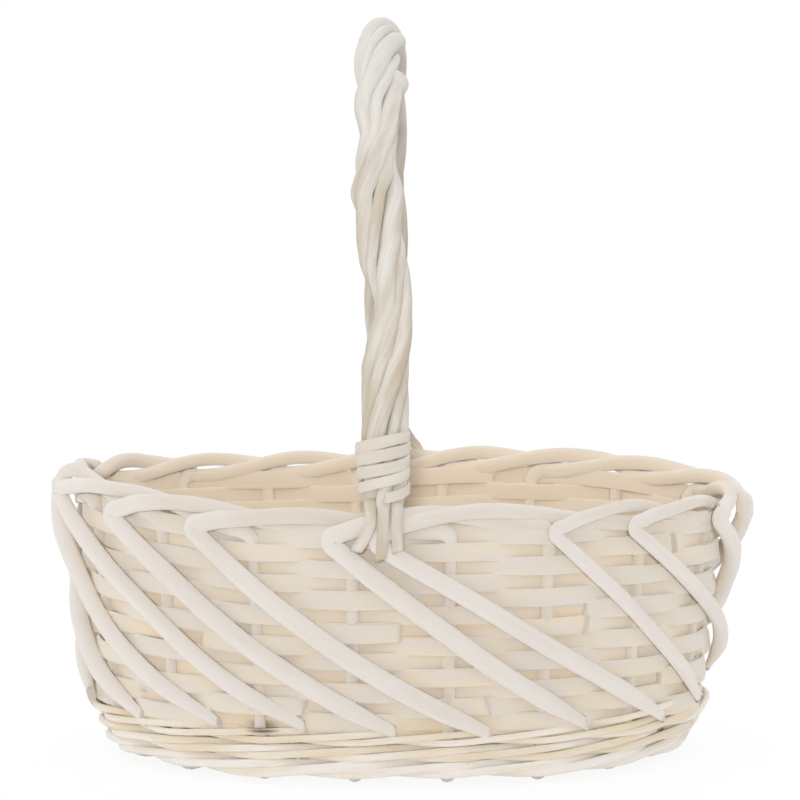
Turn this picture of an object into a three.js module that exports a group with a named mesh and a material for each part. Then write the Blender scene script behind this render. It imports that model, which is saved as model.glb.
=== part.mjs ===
// Oval willow basket with a rope rim, slanting outer rods and a fixed twisted hoop handle.
// Millimetres, +Z up. The origin is the middle of the footprint, X runs along the length, the front is -Y.
import * as THREE from "three";

// Overall form
const baseLength = 249; // stake centre line at the floor, left to right
const baseWidth = 175; // stake centre line at the floor, front to back
const ovalPower = 2.3; // 2 is an ellipse, a higher power is squarer
const wallHeight = 108; // floor to the middle of the rope rim
const wallFlare = 11.5; // how far the wall leans out on each side by the rim
const overallHeight = 310; // floor to the top of the handle
const clearance = 0.3; // air between two pieces that touch on the real basket
const chordRoom = 0.5; // more air where straight facets cut across a bend

// Wall rods
const rodCount = 18; // a multiple of six, so that the weaver rows and the wale close on themselves
const rodDiameter = 6;
const firstRod = 0.05; // place of rod 1, as a share of the rod spacing
const footReach = 30; // length of the rod that lies under the base
const footBend = 5; // bend from the foot up into the stake
const rimBend = 5; // bend from the stake over into the rim
const rimSpan = 2; // rod spacings that a rod runs along the rim
const hookRadius = 3.8; // turn back on the outside, under the rim
const hookLead = 7; // run from the rim to the middle of that turn
const slantAngle = THREE.MathUtils.degToRad(36); // fall of the slanting outer rods

// Weaver rows
const weaverWidth = 5.3;
const weaverThickness = 1.8;
const rowGap = 0.65; // between one row and the next
const rimSlit = 0.5; // open slit between the top row and the rim

// Foot wale
const waleDiameter = 2.8;
const waleRows = 3;
const waleStrands = 3; // thin rods in each row
const waleStart = 7; // height of the lowest row

// Base
const stickThickness = 3;
const stickWidth = 7;
const longSticks = 3;
const shortSticks = 5;
const shortStickSpacing = 26;
const shortStickCore = 7.6; // thickness of a short stick round its slit
const baseWeaverWidth = 4;
const baseWeaverThickness = 1.6;
const baseTurns = 5; // turns of each of the two base weavers
const baseHeartLength = 132; // first turn of the base weavers, left to right
const baseHeartWidth = 42; // first turn of the base weavers, front to back
const baseHeartPower = 3; // the first turn is squarer than the wall

// Handle
const handleShift = -7; // the handle stands a little left of the middle
const coreDiameter = 7;
const strandDiameter = 6.4;
const strandCount = 6;
const handleTurns = 3; // full turns of the strands from end to end
const tailDiameter = 3; // strand ends where they lap over the rim
const tailDrop = 11; // how far the strand ends hang below the middle of the rim
const bindingHeight = 28;
const bindingWidth = 5.6;
const bindingThickness = 1.2;
const bindingGap = 0.5; // between one turn and the next
const bindingLift = 4; // lowest turn above the top of the rim

// Facets
const roundSides = 5;
const bindingSteps = 24; // in one turn

// Sizes that follow from the ones above
const rodRadius = rodDiameter / 2;
const waleRadius = waleDiameter / 2;
const coreRadius = coreDiameter / 2;
const strandRadius = strandDiameter / 2;
const tailRadius = tailDiameter / 2;
const ropeRadius = 0.58 * (rodDiameter + clearance);
const ropeOut = 0.75 * rodRadius;
const ropeOuter = ropeRadius + rodRadius;
const stakeTop = wallHeight - ropeRadius - rimBend;
const weaverOut = rodRadius + clearance + weaverThickness / 2;
const slantOut = weaverOut + weaverThickness / 2 + clearance + chordRoom + rodRadius;
const waleOut = rodRadius + clearance + waleRadius + chordRoom;
const waleLift = waleRadius + clearance;
const walePitch = 2 * (waleLift + waleRadius) + clearance;
const waleTop = waleStart + (waleRows - 1) * walePitch + waleLift + waleRadius;

const willow = new THREE.MeshStandardMaterial({ color: 0xe6e1d6, roughness: 0.62, metalness: 0 });
const splitWillow = new THREE.MeshStandardMaterial({ color: 0xdfd4bf, roughness: 0.7, metalness: 0 });
const footWillow = new THREE.MeshStandardMaterial({ color: 0xdacdb4, roughness: 0.68, metalness: 0 });
const baseWillow = new THREE.MeshStandardMaterial({ color: 0xd9c9ab, roughness: 0.75, metalness: 0 });
const handleWillow = new THREE.MeshStandardMaterial({ color: 0xded8cb, roughness: 0.6, metalness: 0 });
const skein = new THREE.MeshStandardMaterial({ color: 0xe2dccf, roughness: 0.55, metalness: 0 });

const basket = new THREE.Group();
const upward = new THREE.Vector3(0, 0, 1);

function addPiece(name, geometry, material) {
  const piece = new THREE.Mesh(geometry, material);
  piece.name = name;
  basket.add(piece);
}

// Oval plan of the wall
class Oval extends THREE.Curve {
  constructor(length, width) {
    super();
    this.length = length;
    this.width = width;
    this.arcLengthDivisions = 720;
  }

  getPoint(share, target = new THREE.Vector3()) {
    const angle = 2 * Math.PI * share;
    const across = Math.abs((2 * Math.cos(angle)) / this.length) ** ovalPower;
    const along = Math.abs((2 * Math.sin(angle)) / this.width) ** ovalPower;
    const reach = (across + along) ** (-1 / ovalPower);
    return target.set(reach * Math.cos(angle), reach * Math.sin(angle), 0);
  }
}

// Half the chord of an oval of the given size, at a distance from its middle
function halfChord(distance, size, chordSize, power) {
  const share = Math.abs((2 * distance) / size) ** power;
  return (chordSize / 2) * (1 - share) ** (1 / power);
}

const stakeLine = new Oval(baseLength, baseWidth);
const girth = stakeLine.getLength();
const rodSpacing = girth / rodCount;

// A point by its way round the wall, its height, and how far it stands out from the stakes
function onWall(along, height, out) {
  const share = THREE.MathUtils.euclideanModulo(along / girth, 1);
  const tangent = stakeLine.getTangentAt(share);
  const outward = new THREE.Vector3(tangent.y, -tangent.x, 0);
  const lean = (wallFlare * height) / wallHeight;
  const point = stakeLine.getPointAt(share);
  return point.addScaledVector(outward, lean + out).setZ(height);
}

function rodPlace(index) {
  return (index + firstRod) * rodSpacing;
}

// Unit direction of a path at each of its points
function directions(path, closed) {
  const last = path.length - 1;
  return path.map((point, i) => {
    const before = closed ? path[(i + last) % path.length] : path[Math.max(i - 1, 0)];
    const after = closed ? path[(i + 1) % path.length] : path[Math.min(i + 1, last)];
    const arriving = point.clone().sub(before).normalize();
    const leaving = after.clone().sub(point).normalize();
    return arriving.add(leaving).normalize();
  });
}

// Closes a row of equal rings of points into one body
function skinRings(rings, closed) {
  const sides = rings[0].length;
  const positions = rings.flat().flatMap((point) => point.toArray());
  const faces = [];
  const spans = closed ? rings.length : rings.length - 1;
  for (let i = 0; i < spans; i += 1) {
    const here = i * sides;
    const next = ((i + 1) % rings.length) * sides;
    for (let j = 0; j < sides; j += 1) {
      const k = (j + 1) % sides;
      faces.push(here + j, here + k, next + k);
      faces.push(here + j, next + k, next + j);
    }
  }
  if (!closed) {
    const end = (rings.length - 1) * sides;
    for (let j = 1; j < sides - 1; j += 1) {
      faces.push(0, j + 1, j);
      faces.push(end, end + j, end + j + 1);
    }
  }
  const geometry = new THREE.BufferGeometry();
  geometry.setAttribute("position", new THREE.Float32BufferAttribute(positions, 3));
  geometry.setIndex(faces);
  geometry.computeVertexNormals();
  return geometry;
}

// Round rod along a path. Its first ring has a flat side away from the given up direction.
function roundRod(path, radiusAt, up, closed = false) {
  const heading = directions(path, closed);
  const lift = up.clone();
  const rings = path.map((point, i) => {
    const guide = closed ? upward : lift;
    const side = guide.clone().cross(heading[i]).normalize();
    lift.copy(heading[i]).cross(side).normalize();
    const ring = [];
    for (let j = 0; j < roundSides; j += 1) {
      const angle = (2 * Math.PI * (j + 0.5)) / roundSides - Math.PI / 2;
      const spoke = side.clone().multiplyScalar(radiusAt(i) * Math.cos(angle));
      spoke.addScaledVector(lift, radiusAt(i) * Math.sin(angle));
      ring.push(point.clone().add(spoke));
    }
    return ring;
  });
  return skinRings(rings, closed);
}

// Flat strip along a path, its width along the direction that widthAt gives
function flatStrip(path, widthAt, width, thickness, closed) {
  const heading = directions(path, closed);
  const rings = path.map((point, i) => {
    const across = widthAt(i, heading[i]).multiplyScalar(width / 2);
    const face = heading[i].clone().cross(across).setLength(thickness / 2);
    return [
      point.clone().add(across).add(face),
      point.clone().sub(across).add(face),
      point.clone().sub(across).sub(face),
      point.clone().add(across).sub(face),
    ];
  });
  return skinRings(rings, closed);
}

// One rod: foot under the base, stake, strand of the rim, hook, and slanting rod on the outside
function wallRodPath(index) {
  const root = rodPlace(index);
  const path = [];
  const place = (along, height, out) => path.push(onWall(root + along, height, out));

  const footHeight = rodRadius * Math.cos(Math.PI / roundSides);
  place(0, footHeight, -footReach);
  place(0, footHeight, -footBend - rodRadius);
  const bendSteps = 3;
  for (let i = 0; i <= bendSteps; i += 1) {
    const turn = (Math.PI / 2) * (i / bendSteps);
    place(0, footHeight + footBend * (1 - Math.cos(turn)), footBend * (Math.sin(turn) - 1));
  }

  for (let i = 0; i <= bendSteps; i += 1) {
    const turn = (Math.PI / 2) * (i / bendSteps);
    const out = (ropeOut * i) / bendSteps;
    place(-rimBend * (1 - Math.cos(turn)), stakeTop + rimBend * Math.sin(turn), out);
  }

  const rimRun = rimSpan * rodSpacing;
  const ropeSteps = 7;
  for (let i = 1; i <= ropeSteps; i += 1) {
    const share = i / ropeSteps;
    const angle = 1.5 * Math.PI * (1 - share);
    const along = -rimBend - (rimRun - rimBend) * share;
    place(along, wallHeight + ropeRadius * Math.sin(angle), ropeOut + ropeRadius * Math.cos(angle));
  }

  const hookAlong = -rimRun - hookLead;
  const hookHeight = wallHeight - ropeRadius / 2 - hookRadius;
  const hookSteps = 4;
  for (let i = 0; i <= hookSteps; i += 1) {
    const angle = Math.PI / 2 + (Math.PI - slantAngle) * (i / hookSteps);
    const along = hookAlong + hookRadius * Math.cos(angle);
    place(along, hookHeight + hookRadius * Math.sin(angle), slantOut);
  }

  const slantStartAlong = hookAlong - hookRadius * Math.sin(slantAngle);
  const slantStart = hookHeight - hookRadius * Math.cos(slantAngle);
  const slantEnd = waleTop + clearance + rodRadius;
  const slantSteps = 8;
  for (let i = 1; i <= slantSteps; i += 1) {
    const fall = (slantStart - slantEnd) * (i / slantSteps);
    place(slantStartAlong + fall / Math.tan(slantAngle), slantStart - fall, slantOut);
  }
  return path;
}

for (let index = 0; index < rodCount; index += 1) {
  const rod = roundRod(wallRodPath(index), () => rodRadius, upward);
  addPiece(`wall_rod_${String(index + 1).padStart(2, "0")}`, rod, willow);
}

// Weaver rows, each in front of one stake and behind the next, turn about from row to row
const rowPitch = weaverWidth + rowGap;
const rowFloor = waleTop + clearance;
const rowCeiling = wallHeight - ropeOuter - rimSlit;
const rowCount = Math.floor((rowCeiling - rowFloor) / rowPitch);
const weaverHold = rodRadius + clearance;

for (let row = 0; row < rowCount; row += 1) {
  const height = rowFloor + weaverWidth / 2 + row * rowPitch;
  const path = [];
  const slopes = [];
  for (let index = 0; index < rodCount; index += 1) {
    const out = (row + index) % 2 ? weaverOut : -weaverOut;
    for (const along of [rodPlace(index) - weaverHold, rodPlace(index) + weaverHold]) {
      const point = onWall(along, height, out);
      path.push(point);
      slopes.push(onWall(along, height + 1, out).sub(point).normalize());
    }
  }
  const strip = flatStrip(path, (i) => slopes[i].clone(), weaverWidth, weaverThickness, true);
  addPiece(`weaver_row_${String(row + 1).padStart(2, "0")}`, strip, splitWillow);
}

// Foot wale: rows of three thin rods. Each passes outside two stakes and inside the third. It comes
// out below the others and rises above them before it goes in again.
const waleCourse = [
  { out: 1, lift: -1, nextOut: 1, nextLift: 0 },
  { out: 1, lift: 1, nextOut: 0, nextLift: 1 },
  { out: -1, lift: 0, nextOut: 0, nextLift: -1 },
];

for (let row = 0; row < waleRows; row += 1) {
  const height = waleStart + row * walePitch;
  for (let strand = 0; strand < waleStrands; strand += 1) {
    const path = [];
    for (let index = 0; index < rodCount; index += 1) {
      const { out, lift, nextOut, nextLift } = waleCourse[(index + strand) % waleStrands];
      path.push(onWall(rodPlace(index), height + lift * waleLift, out * waleOut));
      path.push(onWall(rodPlace(index + 0.5), height + nextLift * waleLift, nextOut * waleOut));
    }
    const rod = roundRod(path, () => waleRadius, upward, true);
    addPiece(`foot_wale_${row + 1}${"abc"[strand]}`, rod, footWillow);
  }
}

// Base: short sticks with a slit, long sticks through the slits, two weavers that chase each other
const footTop = rodRadius * (1 + Math.cos(Math.PI / roundSides));
const baseWeaverLift = stickThickness / 2 + clearance + baseWeaverThickness / 2;
const baseMiddle = footTop + clearance + baseWeaverThickness / 2 + baseWeaverLift;
const baseTop = baseMiddle + baseWeaverLift + baseWeaverThickness / 2;
const baseEdge = waleOut + waleRadius + clearance + baseWeaverWidth / 2;
const baseRimLength = baseLength - 2 * baseEdge;
const baseRimWidth = baseWidth - 2 * baseEdge;
const longStickPitch = stickWidth + clearance;
const longGroupWidth = longSticks * longStickPitch + clearance;

function longStickShape() {
  const half = baseRimLength / 2;
  const shape = new THREE.Shape();
  shape.moveTo(-half, -stickWidth / 4);
  shape.lineTo(stickWidth - half, -stickWidth / 2);
  shape.lineTo(half - stickWidth, -stickWidth / 2);
  shape.lineTo(half, -stickWidth / 4);
  shape.lineTo(half, stickWidth / 4);
  shape.lineTo(half - stickWidth, stickWidth / 2);
  shape.lineTo(stickWidth - half, stickWidth / 2);
  shape.lineTo(-half, stickWidth / 4);
  return shape;
}

for (let i = 0; i < longSticks; i += 1) {
  const stick = new THREE.ExtrudeGeometry(longStickShape(), { depth: stickThickness, bevelEnabled: false });
  stick.translate(0, (i - (longSticks - 1) / 2) * longStickPitch, baseMiddle - stickThickness / 2);
  addPiece(`base_long_stick_${i + 1}`, stick, baseWillow);
}

// Side of a short stick: thick round the slit, shaved down to both ends
function shortStickShape(half) {
  const thick = shortStickCore / 2;
  const thin = stickThickness / 2;
  const slitHalf = longGroupWidth / 2;
  const slitHeight = thin + clearance;
  const shoulder = slitHalf + thin / 2;
  const neck = shoulder + thin;
  const shape = new THREE.Shape();
  shape.moveTo(-half, -thin);
  shape.lineTo(-neck, -thin);
  shape.lineTo(-shoulder, -thick);
  shape.lineTo(shoulder, -thick);
  shape.lineTo(neck, -thin);
  shape.lineTo(half, -thin);
  shape.lineTo(half, thin);
  shape.lineTo(neck, thin);
  shape.lineTo(shoulder, thick);
  shape.lineTo(-shoulder, thick);
  shape.lineTo(-neck, thin);
  shape.lineTo(-half, thin);
  const slit = new THREE.Path();
  slit.moveTo(-slitHalf, -slitHeight);
  slit.lineTo(-slitHalf, slitHeight);
  slit.lineTo(slitHalf, slitHeight);
  slit.lineTo(slitHalf, -slitHeight);
  shape.holes.push(slit);
  return shape;
}

function shortStickPlace(i) {
  return (i - (shortSticks - 1) / 2) * shortStickSpacing;
}

for (let i = 0; i < shortSticks; i += 1) {
  const half = halfChord(shortStickPlace(i), baseRimLength, baseRimWidth, ovalPower);
  const stick = new THREE.ExtrudeGeometry(shortStickShape(half), { depth: stickWidth, bevelEnabled: false });
  stick.rotateX(Math.PI / 2);
  stick.rotateZ(Math.PI / 2);
  stick.translate(shortStickPlace(i) - stickWidth / 2, 0, baseMiddle);
  addPiece(`base_short_stick_${i + 1}`, stick, baseWillow);
}

// Stations of one turn of a base weaver: two at each stick that it passes, one at each corner
function baseStations() {
  const hold = stickWidth / 2 + clearance;
  const groupHold = longGroupWidth / 2 + chordRoom;
  const stations = [];
  let stick = 0;
  const passLong = (side) => {
    for (const y of [-side * groupHold, side * groupHold]) {
      stations.push({ stick, place: (length, width, power) => [side * halfChord(y, width, length, power), y] });
    }
    stick += 1;
  };
  const passShort = (i, side) => {
    for (const x of [shortStickPlace(i) + side * hold, shortStickPlace(i) - side * hold]) {
      stations.push({ stick, place: (length, width, power) => [x, side * halfChord(x, length, width, power)] });
    }
    stick += 1;
  };
  const turnCorner = (sideX, sideY) => {
    const place = (length, width, power) => {
      const x = (shortStickPlace(shortSticks - 1) + hold + length / 2) / 2;
      return [sideX * x, sideY * halfChord(x, length, width, power)];
    };
    stations.push({ place });
  };
  passLong(1);
  turnCorner(1, 1);
  for (let i = shortSticks - 1; i >= 0; i -= 1) passShort(i, 1);
  turnCorner(-1, 1);
  passLong(-1);
  turnCorner(-1, -1);
  for (let i = 0; i < shortSticks; i += 1) passShort(i, -1);
  turnCorner(1, -1);
  return stations;
}

function baseWeaverPath(start) {
  const stations = baseStations();
  const rings = 2 * baseTurns + 1;
  const path = [];
  for (let step = 0; step < baseTurns * stations.length; step += 1) {
    const { stick, place } = stations[step % stations.length];
    const share = (start + (2 * step) / stations.length) / rings;
    const length = THREE.MathUtils.lerp(baseHeartLength, baseRimLength, share);
    const width = THREE.MathUtils.lerp(baseHeartWidth, baseRimWidth, share);
    const power = THREE.MathUtils.lerp(baseHeartPower, ovalPower, share);
    const over = (stick + start) % 2 ? 1 : -1;
    const lift = stick === undefined ? 0 : over * baseWeaverLift;
    path.push(new THREE.Vector3(...place(length, width, power), baseMiddle + lift));
  }
  return path;
}

for (const start of [0, 1]) {
  const level = (i, heading) => heading.clone().cross(upward).normalize();
  const strip = flatStrip(baseWeaverPath(start), level, baseWeaverWidth, baseWeaverThickness, false);
  addPiece(`base_weaver_${"ab"[start]}`, strip, baseWillow);
}

// Handle: a hoop over the short way, two upright legs and a half circle
const strandOut = coreRadius + clearance + strandRadius;
const handleRadius = strandOut + strandRadius;
const frontLeg = 0.75 * girth + handleShift;
const backLeg = 0.25 * girth - handleShift;
const archRadius = -onWall(frontLeg, wallHeight, ropeOut).y;
const handleFoot = wallHeight + ropeOuter + bindingLift;
const springHeight = overallHeight - handleRadius - archRadius;
const legLength = springHeight - handleFoot;
const handleLength = 2 * legLength + Math.PI * archRadius;

// A point by its way along the hoop from the front foot, outward from the hoop, and sideways
function onHandle(distance, out, side) {
  const turn = THREE.MathUtils.clamp((distance - legLength) / archRadius, 0, Math.PI);
  const onArch = THREE.MathUtils.clamp(distance, legLength, handleLength - legLength);
  const reach = archRadius + out;
  const height = springHeight + reach * Math.sin(turn) - Math.abs(distance - onArch);
  return new THREE.Vector3(handleShift + side, -reach * Math.cos(turn), height);
}

// The core leaves the leg, goes round the inside of the rim and stands inside the wall
function coreEnd(leg, atFront) {
  const inside = weaverOut + weaverThickness / 2 + clearance + coreRadius;
  const around = ropeOuter + clearance + chordRoom + coreRadius;
  const path = [onWall(leg, baseTop + clearance, -inside), onWall(leg, stakeTop, -inside)];
  for (const degrees of [180, 155, 130]) {
    const angle = THREE.MathUtils.degToRad(degrees);
    const above = around * Math.sin(angle);
    const inward = archRadius + around * Math.cos(angle);
    path.push(new THREE.Vector3(handleShift, atFront ? -inward : inward, wallHeight + above));
  }
  return path;
}

const shortEnd = strandDiameter + clearance; // inner strands stop this far up the leg, in the binding
const coreSteps = 24;
const corePath = coreEnd(frontLeg, true);
for (let i = 0; i <= coreSteps; i += 1) {
  const distance = THREE.MathUtils.lerp(shortEnd, handleLength - shortEnd, i / coreSteps);
  corePath.push(onHandle(distance, 0, 0));
}
corePath.push(...coreEnd(backLeg, false).reverse());
addPiece("handle_core", roundRod(corePath, () => coreRadius, new THREE.Vector3(1, 0, 0)), handleWillow);

// Outer strands lap over the rim and hang outside, thinner towards the tip
function strandTail(angle, atFront) {
  const tailOut = slantOut + rodRadius + clearance + tailRadius - ropeOut;
  const start = strandOut * Math.cos(angle);
  const side = strandOut * Math.sin(angle);
  const stops = [
    { out: tailOut, height: wallHeight - tailDrop },
    { out: tailOut, height: wallHeight },
    { out: THREE.MathUtils.lerp(start, tailOut, 0.55), height: wallHeight + ropeOuter },
  ];
  return stops.map(({ out, height }) => {
    const reach = archRadius + out;
    return new THREE.Vector3(handleShift + side, atFront ? -reach : reach, height);
  });
}

const strandSteps = 40;
for (let strand = 0; strand < strandCount; strand += 1) {
  const angle = (2 * Math.PI * strand) / strandCount;
  const isOuter = Math.cos(angle) > 0;
  const margin = isOuter ? 0 : shortEnd;
  const path = isOuter ? strandTail(angle, true) : [];
  const tailPoints = path.length;
  for (let i = 0; i <= strandSteps; i += 1) {
    const distance = THREE.MathUtils.lerp(margin, handleLength - margin, i / strandSteps);
    const twist = angle + 2 * Math.PI * handleTurns * (distance / handleLength);
    path.push(onHandle(distance, strandOut * Math.cos(twist), strandOut * Math.sin(twist)));
  }
  if (isOuter) path.push(...strandTail(angle, false).reverse());
  const radiusAt = (i) => {
    const fromTip = Math.min(i, path.length - 1 - i);
    if (fromTip >= tailPoints) return strandRadius;
    return THREE.MathUtils.lerp(tailRadius, strandRadius, fromTip / tailPoints);
  };
  addPiece(`handle_strand_${strand + 1}`, roundRod(path, radiusAt, new THREE.Vector3(1, 0, 0)), handleWillow);
}

// Bindings: a flat skein wound round each leg, one unbroken strip
const bindingPitch = bindingWidth + bindingGap;
const bindingTurns = (bindingHeight - bindingWidth) / bindingPitch;
const bindingRadius = handleRadius + clearance + bindingThickness;

function bindingPath(atFront) {
  const steps = Math.round(bindingTurns * bindingSteps);
  const path = [];
  for (let i = 0; i <= steps; i += 1) {
    const turn = (2 * Math.PI * i) / bindingSteps;
    const climb = bindingWidth / 2 + (bindingPitch * i) / bindingSteps;
    const distance = atFront ? climb : handleLength - climb;
    path.push(onHandle(distance, bindingRadius * Math.cos(turn), bindingRadius * Math.sin(turn)));
  }
  return path;
}

// Least air between one turn of a binding and the next, from the edges of the strip
function leastTurnGap(geometry) {
  const corners = geometry.getAttribute("position");
  const cornersInTurn = 4 * bindingSteps;
  let least = Infinity;
  for (let i = 0; i < corners.count; i += 1) {
    const corner = new THREE.Vector3().fromBufferAttribute(corners, i);
    for (let j = i + cornersInTurn / 2; j < corners.count; j += 1) {
      least = Math.min(least, corner.distanceTo(new THREE.Vector3().fromBufferAttribute(corners, j)));
    }
  }
  return least;
}

for (const [name, atFront] of [["handle_binding_front", true], ["handle_binding_back", false]]) {
  const strip = flatStrip(bindingPath(atFront), () => upward.clone(), bindingWidth, bindingThickness, false);
  console.log(`${name}: least gap between turns ${leastTurnGap(strip).toFixed(2)} mm`);
  addPiece(name, strip, skein);
}

export default basket;
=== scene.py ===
import bpy
import bmesh
import random
from bisect import bisect_right
from functools import partial
from itertools import product
from math import atan2, copysign, cos, exp, hypot, pi, radians, sin, tan
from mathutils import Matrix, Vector, noise


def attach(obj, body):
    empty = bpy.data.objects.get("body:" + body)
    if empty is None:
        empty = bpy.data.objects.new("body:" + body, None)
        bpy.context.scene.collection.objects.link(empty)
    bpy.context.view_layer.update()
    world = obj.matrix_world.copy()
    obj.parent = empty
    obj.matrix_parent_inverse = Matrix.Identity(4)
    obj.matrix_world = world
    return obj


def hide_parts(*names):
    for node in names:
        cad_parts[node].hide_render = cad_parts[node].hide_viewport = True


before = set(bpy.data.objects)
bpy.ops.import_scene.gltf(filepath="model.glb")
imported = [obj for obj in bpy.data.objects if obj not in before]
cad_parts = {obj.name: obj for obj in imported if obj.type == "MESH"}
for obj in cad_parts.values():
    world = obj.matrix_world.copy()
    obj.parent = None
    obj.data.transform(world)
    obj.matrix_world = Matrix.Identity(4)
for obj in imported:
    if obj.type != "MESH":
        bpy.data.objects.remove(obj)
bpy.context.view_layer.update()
scene = bpy.context.scene
upward = Vector((0, 0, 1))
mm = 0.001

# Wall plan: an oval that flares, with a rim that isn't level and a foot drawn in at its two ends
# A span is where something starts and how long it takes, here as shares of half the length
wall = {
    "length": 249 * mm,  # stake centre line at the floor
    "width": 175 * mm,
    "power": 2.3,  # a little squarer than an ellipse
    "height": 108 * mm,  # floor to the middle of the rope rim
    "flare": 11.5 * mm,
    "leftRise": (2.6 * mm, (0.55, 0.45)),  # the rim climbs to the left end
    "tipRise": (3.12 * mm, (0.9, 0.2)),  # and climbs once more at its tip
    "rightRise": (2.2 * mm, (-0.15, 0.45), (0.7, 0.35)),  # it is higher right of the handle
    "cornerRise": (4 * mm, (0.4, 0.4)),  # and highest at the front left corner
    "cornerDepth": 30 * mm,
    "riseStart": 0.1,  # share of the height that stays level
    "tuckSpan": (0.5, 0.4),
    "leftTuck": (7 * mm, 24 * mm),  # how far the foot is drawn in, and up to which height
    "rightTuck": (10 * mm, 26 * mm),
    "rodCount": 18,
    "firstRod": 0.05,
    "divisions": 1440,
    "angleStep": 0.004,
}


def mix(low, high, share):
    return low + (high - low) * share


def ease(share):
    share = min(max(share, 0), 1)
    return share * share * (3 - 2 * share)


# From 0 to 1 over a span
def rising(value, span):
    start, reach = span
    return ease((value - start) / reach)


# An amount that comes over one span, and goes again over a second one
def over(value, rule):
    most, first, *second = rule
    gone = rising(value, second[0]) if second else 0
    return most * rising(value, first) * (1 - gone)


# Smooth wander from -1 to 1, the same on every run
def wander(seed, way):
    return noise.noise(Vector((way, 7.31 * seed + 0.37, 3.7 - 1.93 * seed)))


# Wander by a rule: how far, and how fast it changes along the way
def stray(rule, seed, way):
    most, rate = rule
    return most * wander(seed, rate * way)


# Reach of a squarish oval at an angle
def ovalReach(angle, length, width, power):
    across = abs(2 * cos(angle) / length) ** power
    along = abs(2 * sin(angle) / width) ** power
    return (across + along) ** (-1 / power)


def ovalPoint(angle):
    reach = ovalReach(angle, wall["length"], wall["width"], wall["power"])
    return Vector((reach * cos(angle), reach * sin(angle), 0))


# Way round the oval, measured once
ovalAngles = [2 * pi * i / wall["divisions"] for i in range(wall["divisions"] + 1)]
ovalPoints = [ovalPoint(angle) for angle in ovalAngles]
ovalRun = [0.0]
for here, after in zip(ovalPoints, ovalPoints[1:]):
    ovalRun.append(ovalRun[-1] + (after - here).length)
girth = ovalRun[-1]
rodSpacing = girth / wall["rodCount"]


def ovalAngleAt(along):
    along = along % girth
    low = min(bisect_right(ovalRun, along), wall["divisions"]) - 1
    share = (along - ovalRun[low]) / (ovalRun[low + 1] - ovalRun[low])
    return mix(ovalAngles[low], ovalAngles[low + 1], share)


def rimRise(point):
    share = 2 * point.x / wall["length"]
    left = over(-share, wall["leftRise"]) + over(-share, wall["tipRise"])
    corner = over(-share, wall["cornerRise"]) * ease(-point.y / wall["cornerDepth"])
    return left + over(share, wall["rightRise"]) + corner


# A point by its way round the wall, its height, and how far it stands out from the stakes
def onWall(along, height, out):
    angle = ovalAngleAt(along)
    foot = ovalPoint(angle)
    step = wall["angleStep"]
    tangent = (ovalPoint(angle + step) - ovalPoint(angle - step)).normalized()
    outward = Vector((tangent.y, -tangent.x, 0))
    lean = wall["flare"] * height / wall["height"]
    atEnd = rising(2 * abs(foot.x) / wall["length"], wall["tuckSpan"])
    tuck, tuckHeight = wall["rightTuck" if cos(angle) > 0 else "leftTuck"]
    lean -= tuck * atEnd * (1 - ease(height / tuckHeight))
    point = foot + outward * (lean + out)
    point.z = height + rimRise(point) * ease(height / wall["height"] - wall["riseStart"])
    return point


def rodPlace(index):
    return (index + wall["firstRod"]) * rodSpacing


# Smooth points through a few guide points
def throughGuides(guides, steps):
    points = []
    for i in range(len(guides) - 1):
        before = guides[max(i - 1, 0)]
        here, after = guides[i], guides[i + 1]
        beyond = guides[min(i + 2, len(guides) - 1)]
        for step in range(steps):
            t = step / steps
            points.append(
                0.5 * (2 * here + (after - before) * t + (2 * before - 5 * here + 4 * after - beyond) * t * t
                       + (3 * here - before - 3 * after + beyond) * t ** 3)
            )
    points.append(guides[-1].copy())
    return points


def headings(points):
    last = len(points) - 1
    return [(points[min(i + 1, last)] - points[max(i - 1, 0)]).normalized() for i in range(last + 1)]


# Marks on the mesh that the willow finish reads
def willowMarks(bm):
    vectors, numbers = bm.verts.layers.float_vector, bm.verts.layers.float
    grain = vectors.get("grain") or vectors.new("grain")
    return grain, *(numbers.get(name) or numbers.new(name) for name in ("tone", "cut"))


seamGap = 0.0005 * mm
grainShift = 1.7  # so that no two pieces share their grain


# One rod or strip: a grid rolled round a path, its seam merged and its ends closed
# spread gives half the width and half the thickness, liftAt the direction of the thickness
def drawAlong(bm, points, spread, outline, liftAt=None, startLift=upward, seed=0,
              tone=lambda i: 0.5, cuts=(0, 0)):
    grainMark, toneMark, cutMark = willowMarks(bm)
    heading = headings(points)
    sides = len(outline)
    last = len(points) - 1
    sheet = bmesh.ops.create_grid(bm, x_segments=sides, y_segments=last, size=1)["verts"]
    lift = startLift.copy()
    way = 0.0
    for i, point in enumerate(points):
        if i:
            way += (point - points[i - 1]).length
        guide = liftAt(i) if liftAt else lift
        side = guide.cross(heading[i]).normalized()
        lift = heading[i].cross(side).normalized()
        halfWidth, halfThickness = spread(i)
        slope = cuts[0] if i == 0 else cuts[1] if i == last else 0
        for j in range(sides + 1):
            a, b = outline[j % sides]
            vert = sheet[i * (sides + 1) + j]
            across, above = a * halfWidth, b * halfThickness
            vert.co = point + side * across + lift * above + heading[i] * (slope * a * halfWidth)
            vert[grainMark] = Vector((way + grainShift * seed, across, above))
            vert[toneMark] = tone(i)
            vert[cutMark] = 1.0 if i in (0, last) else 0.0
    seam = [vert for j, vert in enumerate(sheet) if j % (sides + 1) in (0, sides)]
    bmesh.ops.remove_doubles(bm, verts=seam, dist=seamGap)
    bmesh.ops.holes_fill(bm, edges=[edge for edge in bm.edges if edge.is_boundary], sides=0)


def roundOutline(sides):
    return [(cos(2 * pi * j / sides), sin(2 * pi * j / sides)) for j in range(sides)]


crownPower = 0.8


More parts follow.
